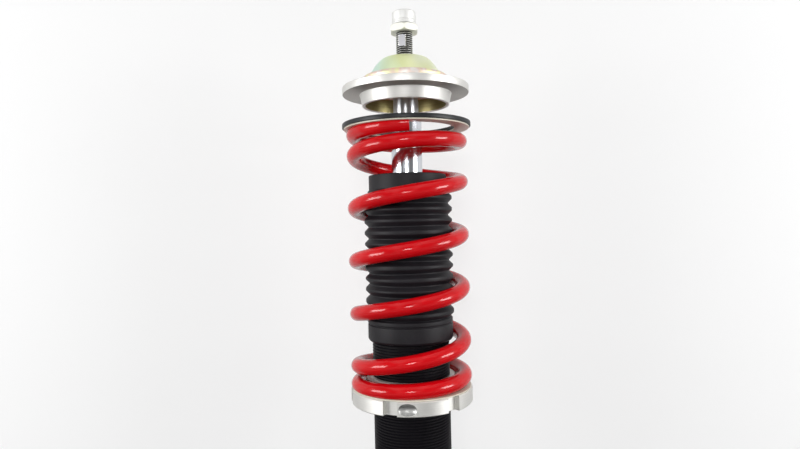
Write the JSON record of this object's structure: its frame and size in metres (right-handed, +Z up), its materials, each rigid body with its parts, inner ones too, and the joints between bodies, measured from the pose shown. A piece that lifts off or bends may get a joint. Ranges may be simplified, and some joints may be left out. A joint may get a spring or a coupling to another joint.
{
  "type": "coilover strut",
  "caption": "Height-adjustable front strut: coil spring on a threaded damper, with upper seat, dust boot and knuckle bracket.",
  "frame": {"origin": "on the damper's axis, in the plane of the bearing cap's top, where the top mount rests", "axes": "+Z up along the damper's axis, +Y towards the knuckle ears, +X along the knuckle bolts"},
  "size_m": [0.1066, 0.1383, 0.5036],
  "materials": {
    "dial_alloy": "satin turned, very light",
    "brass_needle": "ground",
    "zinc_steel": "bright zinc plate",
    "chromed_rod": "hard chrome, polished",
    "yellow_zinc_steel": "yellow chromate over zinc, slightly iridescent",
    "turned_alloy": "fine turned",
    "black_nylon": "matt black",
    "red_powder_coat": "gloss powder coat",
    "urethane": "closed-cell foam skin",
    "boot_rubber": "moulded, semi-matt",
    "cream_nylon": "plain moulded",
    "black_coated_steel": "black coating over a fine thread",
    "plain_steel": "machined, oiled",
    "seal_rubber": "oiled rubber",
    "sintered_steel": "sintered",
    "bronze": "bronze-backed bush",
    "brown_band": "filled PTFE band",
    "black_painted_steel": "semi-gloss black paint"
  },
  "bodies": {
    "bracket": {"bracket_socket": "black_painted_steel", "knuckle_yoke": "black_painted_steel", "stabiliser_link_tab": "black_painted_steel", "brake_hose_tab": "black_painted_steel"},
    "lock_ring": {"bracket_lock_ring": "turned_alloy"},
    "case": {"damper_case": "black_coated_steel", "gland_nut": "plain_steel", "wiper_seal": "seal_rubber", "rod_seal": "seal_rubber", "rod_guide": "sintered_steel", "guide_bush": "bronze", "guide_o_ring": "seal_rubber", "inner_cylinder": "plain_steel", "base_valve": "sintered_steel", "base_valve_shims": "plain_steel", "case_end_cap": "plain_steel", "dust_boot": "boot_rubber"},
    "spring_stack": {"thrust_washer": "cream_nylon", "coil_spring": "red_powder_coat"},
    "perch": {"spring_perch": "turned_alloy"},
    "pad": {"spring_pad_ring": "black_nylon", "upper_thrust_washer": "cream_nylon"},
    "upper_seat": {"upper_spring_seat": "turned_alloy", "bearing_cap": "yellow_zinc_steel"},
    "rod": {"piston_rod": "chromed_rod", "rod_lock_nut": "zinc_steel", "rebound_stop": "urethane", "compression_shims": "plain_steel", "piston": "sintered_steel", "piston_band": "brown_band", "rebound_shims": "plain_steel", "piston_nut": "plain_steel"},
    "dial": {"damping_knob": "dial_alloy", "adjuster_needle": "brass_needle"},
    "bump": {"bump_stop": "urethane"}
  },
  "joints": [
    {"name": "case_height", "type": "slide", "parent": "bracket", "child": "case", "axis": [0, 0, 1], "range_m": [-0.004, 0.035]},
    {"name": "lock_ring_turn", "type": "hinge", "parent": "bracket", "child": "lock_ring", "pos_m": [0, 0, -0.357], "axis": [0, 0, 1], "continuous": true},
    {"name": "perch_height", "type": "slide", "parent": "case", "child": "spring_stack", "axis": [0, 0, 1], "range_m": [-0.03, 0]},
    {"name": "perch_turn", "type": "hinge", "parent": "spring_stack", "child": "perch", "pos_m": [0, 0, -0.2396], "axis": [0, 0, 1], "range_deg": [-5400, 0]},
    {"name": "damper_stroke", "type": "slide", "parent": "case", "child": "upper_seat", "axis": [0, 0, 1], "range_m": [-0.08, 0], "stiffness_N_per_m": 1500, "springref_m": 0.06},
    {"name": "rod_swivel", "type": "hinge", "parent": "upper_seat", "child": "rod", "pos_m": [0, 0, -0.1], "axis": [0, 0, 1], "continuous": true},
    {"name": "dial_turn", "type": "hinge", "parent": "rod", "child": "dial", "pos_m": [0, 0, 0.03], "axis": [0, 0, 1], "range_deg": [0, 1080]},
    {"name": "pad_drop", "type": "slide", "parent": "spring_stack", "child": "pad", "axis": [0, 0, 1], "range_m": [-0.0596, 0], "deforming": ["coil_spring"]},
    {"name": "bump_drop", "type": "slide", "parent": "case", "child": "bump", "axis": [0, 0, 1], "range_m": [-0.0325, 0], "deforming": ["dust_boot"]}
  ],
  "couplings": [
    {"joint": "perch_turn", "follows": "perch_height", "rad_per_m": 3141.6},
    {"joint": "pad_drop", "follows": "damper_stroke", "ratio": 0.7437},
    {"joint": "bump_drop", "follows": "damper_stroke", "ratio": 0.4062}
  ]
}
